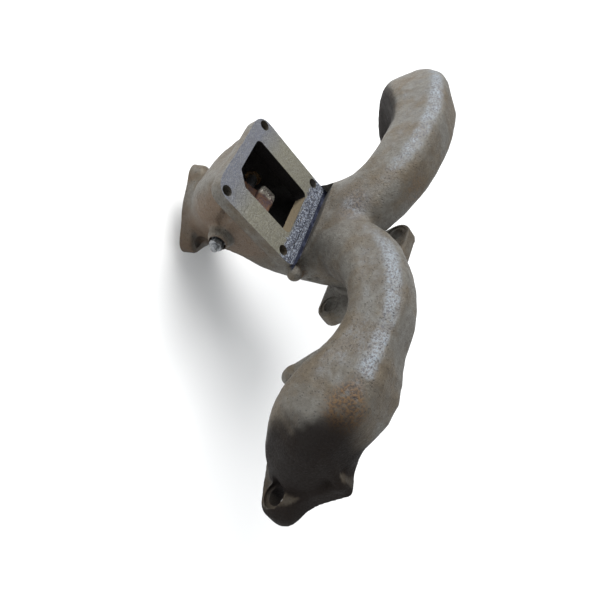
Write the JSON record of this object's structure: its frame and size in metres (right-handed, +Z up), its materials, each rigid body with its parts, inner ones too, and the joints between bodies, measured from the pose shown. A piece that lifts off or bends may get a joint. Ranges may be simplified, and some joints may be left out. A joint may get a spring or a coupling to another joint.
{
  "type": "exhaust manifold",
  "caption": "Cast-iron exhaust manifold: arched runners join in a collector with a rectangular riser flange on top, a tilted outlet below and a heat-control flap on a cross shaft.",
  "frame": {"origin": "centre of the middle port on the cylinder-head face", "axes": "+X runs along the row of ports from the front port to the rear port, +Y points away from the cylinder head, +Z points up towards the intake manifold"},
  "size_m": [0.4598, 0.1558, 0.2112],
  "materials": {
    "raw_iron": "raw sand casting, weathered brown-grey",
    "faced_iron": "milled joint faces, dulled and pitted",
    "flap_iron": "heat-scaled and rusty",
    "rusty_steel": "rusty",
    "plated_steel": "plated, worn",
    "bush_bronze": "dull"
  },
  "bodies": {
    "casting": {"front_port_flange": "faced_iron", "middle_port_flange": "faced_iron", "rear_port_flange": "faced_iron", "front_bend": "raw_iron", "front_elbow": "raw_iron", "front_arm": "raw_iron", "front_arm_inner": "raw_iron", "rear_arm_inner": "raw_iron", "rear_arm": "raw_iron", "rear_elbow": "raw_iron", "rear_bend": "raw_iron", "front_drop": "raw_iron", "rear_drop": "raw_iron", "middle_runner": "raw_iron", "throat": "raw_iron", "riser_flange": "faced_iron", "collector_box": "raw_iron", "outlet_neck": "raw_iron", "outlet_flange": "faced_iron", "stop_pin": "plated_steel", "shaft_end_plug": "plated_steel", "front_bush": "bush_bronze", "rear_bush": "bush_bronze"},
    "flap": {"flap_shaft": "plated_steel", "flap_plate": "flap_iron", "flap_saddle": "flap_iron", "saddle_screw_front": "rusty_steel", "saddle_screw_rear": "rusty_steel", "saddle_nut_front": "rusty_steel", "saddle_nut_rear": "rusty_steel", "plain_washer": "plated_steel", "spring_washer": "plated_steel", "shaft_nut": "plated_steel"}
  },
  "joints": [
    {"name": "flap_turn", "type": "hinge", "parent": "casting", "child": "flap", "pos_m": [0, 0.113, -0.063], "axis": [-1, 0, 0], "range_deg": [0, 60]}
  ]
}
